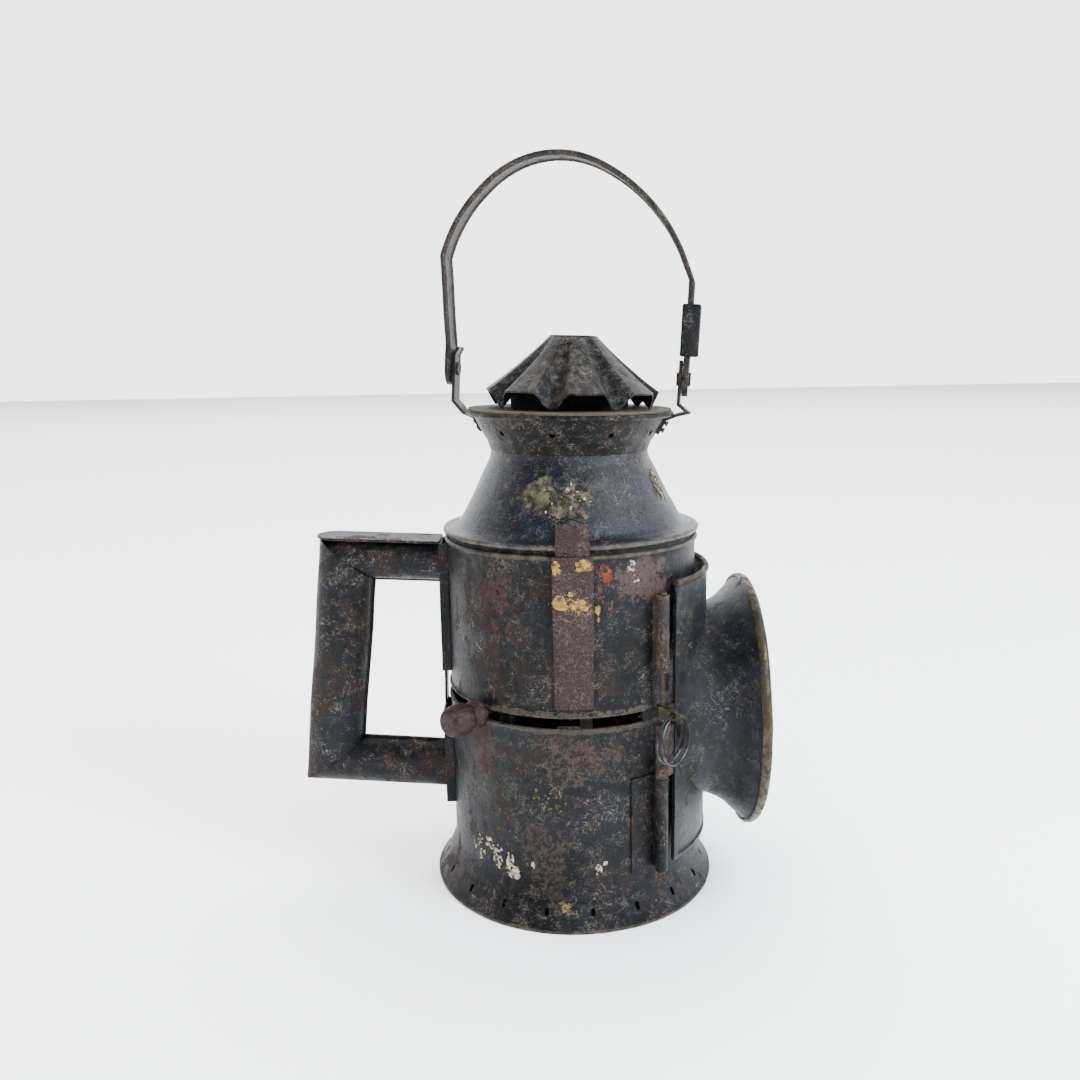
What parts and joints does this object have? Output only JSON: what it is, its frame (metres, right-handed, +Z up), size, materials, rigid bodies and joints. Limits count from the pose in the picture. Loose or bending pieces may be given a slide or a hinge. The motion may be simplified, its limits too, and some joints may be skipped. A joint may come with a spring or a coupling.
{
  "type": "railroad lantern",
  "caption": "Hand signal lamp of black sheet metal: round body with a bull's-eye lens door, side grip, turning colour drum, hinged hood with a fluted cap, and a swinging bail.",
  "frame": {"origin": "on the lamp body's axis, in the plane that the foot stands on", "axes": "+X towards the lens, -X towards the hand grip, -Y towards the latch on the front, +Z up"},
  "size_m": [0.2205, 0.1322, 0.3313],
  "materials": {
    "japan_black": "worn black japan with a bluish sheen",
    "japan_rusted": "black japan, browned by rust",
    "dusty_steel": "dull tinned steel with brown dust",
    "aged_brass": "brown tarnished brass",
    "bright_tin": "bright tinplate",
    "clear_glass": "clear",
    "red_glass": "red",
    "green_glass": "green",
    "stained_wood": "dark reddish brown",
    "putty": "hard pale putty",
    "cotton": "woven cotton"
  },
  "bodies": {
    "case": {"base_skirt": "japan_black", "bottom_plate": "japan_black", "body_shell": "japan_black", "latch_pocket": "japan_rusted", "grip_tube": "japan_rusted", "grip_upper_arm": "japan_black", "grip_lower_arm": "japan_black", "grip_top_plate": "dusty_steel", "grip_back_strip": "japan_black", "upper_hinge_barrel": "japan_rusted", "lower_hinge_barrel": "japan_rusted", "upper_hinge_pin": "aged_brass", "lower_hinge_pin": "aged_brass", "door_keeper": "japan_rusted", "drum_ledge": "japan_black", "rear_hinge_leaf": "japan_rusted", "rear_hinge_pin": "dusty_steel", "oil_font": "dusty_steel", "filler_cap": "aged_brass", "burner": "aged_brass", "wick_tube": "aged_brass", "reflector": "bright_tin", "reflector_post": "dusty_steel"},
    "wick_wheel": {"wick_spindle": "aged_brass", "wick_key": "aged_brass"},
    "wick": {"wick": "cotton"},
    "door": {"door_panel": "japan_black", "door_wired_edge": "dusty_steel", "door_barrel": "japan_rusted", "door_eye": "aged_brass", "lens_bell": "japan_black", "lens_putty": "putty", "brass_rim": "aged_brass", "bulls_eye_lens": "clear_glass", "door_catch": "dusty_steel"},
    "ring": {"pull_ring": "dusty_steel"},
    "drum": {"drum_lower_ring": "dusty_steel", "drum_upper_ring": "dusty_steel", "drum_posts": "dusty_steel", "red_glass": "red_glass", "green_glass": "green_glass", "knob_stem": "dusty_steel", "turning_knob": "stained_wood"},
    "hood": {"hood_cone": "japan_black", "hood_collar": "japan_black", "collar_plate": "dusty_steel", "fluted_cap": "japan_black", "chimney": "dusty_steel", "latch_tongue": "japan_rusted", "hood_hinge_strap": "japan_rusted", "ear_grip_side": "japan_rusted", "ear_lens_side": "japan_rusted", "ear_rivets": "dusty_steel"},
    "bail": {"bail": "japan_rusted", "bail_pivots": "dusty_steel"},
    "sleeve": {"lock_sleeve": "japan_black"}
  },
  "joints": [
    {"name": "hood_hinge", "type": "hinge", "parent": "case", "child": "hood", "pos_m": [0, 0.0612, 0.1657], "axis": [-1, 0, 0], "range_deg": [0, 105]},
    {"name": "bail_swing", "type": "hinge", "parent": "hood", "child": "bail", "pos_m": [0.00204, 0, 0.23594], "axis": [0.983, -0.1736, -0.0601], "range_deg": [-110, 110]},
    {"name": "sleeve_slide", "type": "slide", "parent": "bail", "child": "sleeve", "axis": [0.061, 0, 0.9981], "range_m": [0, 0.008]},
    {"name": "door_hinge", "type": "hinge", "parent": "case", "child": "door", "pos_m": [0.03688, -0.04984, 0.083], "axis": [0, 0, -1], "range_deg": [0, 57]},
    {"name": "ring_swing", "type": "hinge", "parent": "door", "child": "ring", "pos_m": [0.041, -0.0555, 0.0946], "axis": [-0.6428, -0.766, 0], "range_deg": [0, 75]},
    {"name": "drum_turn", "type": "hinge", "parent": "case", "child": "drum", "pos_m": [0, 0, 0.092], "axis": [0, 0, 1], "range_deg": [-37, 53]},
    {"name": "wick_turn", "type": "hinge", "parent": "case", "child": "wick_wheel", "pos_m": [0, 0, 0.0488], "axis": [0, -1, 0], "range_deg": [-60, 90]},
    {"name": "wick_raise", "type": "slide", "parent": "case", "child": "wick", "axis": [0, 0, 1], "range_m": [-0.0045, 0.0065]}
  ],
  "couplings": [
    {"joint": "wick_raise", "follows": "wick_turn", "m_per_rad": 0.004}
  ]
}
